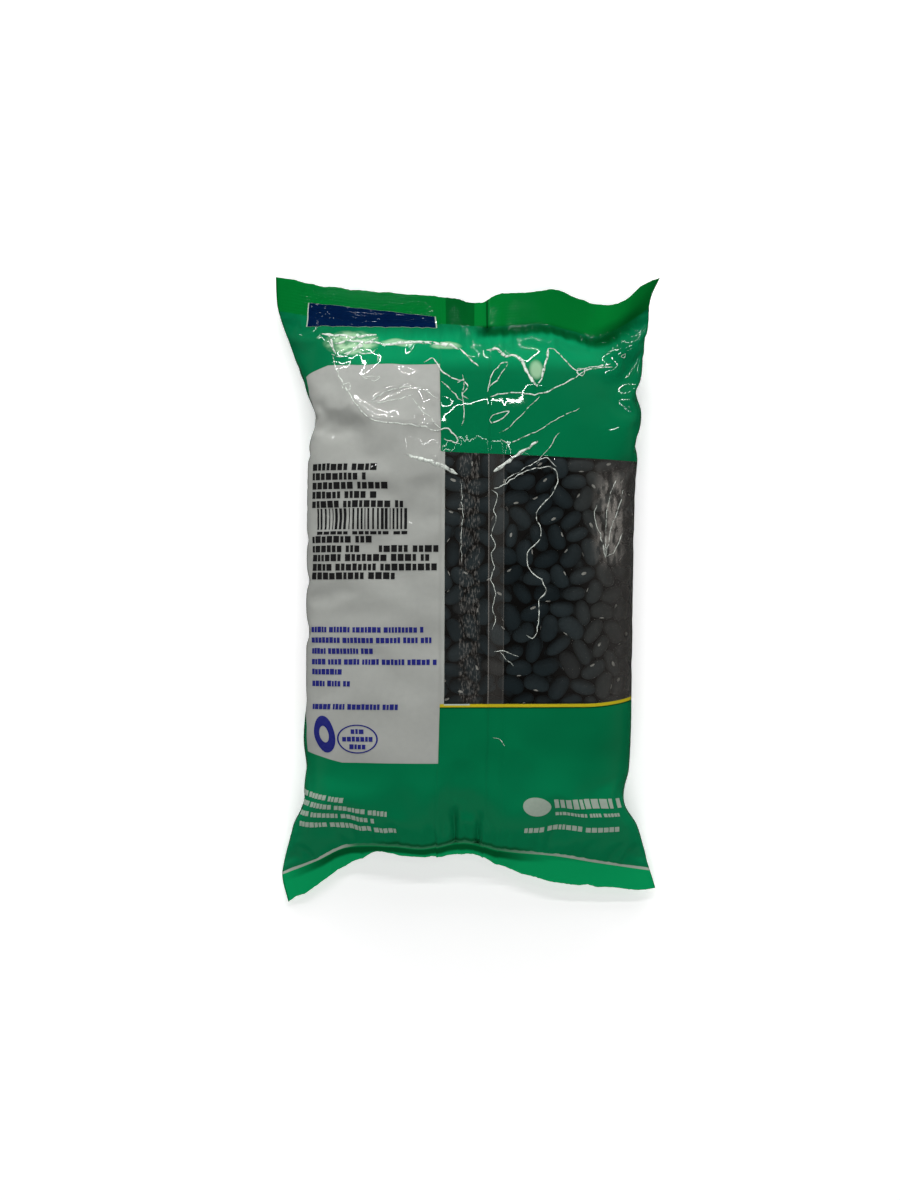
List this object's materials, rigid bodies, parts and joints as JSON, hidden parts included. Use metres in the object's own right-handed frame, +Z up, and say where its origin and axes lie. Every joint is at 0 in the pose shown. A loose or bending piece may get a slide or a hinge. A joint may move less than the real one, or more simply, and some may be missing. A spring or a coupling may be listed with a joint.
{
  "type": "bag of dried beans",
  "caption": "Sealed pillow bag of dried black beans with a clear window, crimped ends and a lapped back seam, lying flat with the seam side up.",
  "frame": {"origin": "under the middle of the bag's bounding box, on the surface that the bag lies on", "axes": "+Z up through the side with the back seam, +Y along the bag towards its top seal, +X to the right seen from above"},
  "size_m": [0.149, 0.245, 0.0378],
  "materials": {
    "film": "glossy printed film, green",
    "beans": "dull black bean skins",
    "eyes": "dull white bean eyes"
  },
  "bodies": {
    "root": {"bag": "film"}
  },
  "joints": []
}
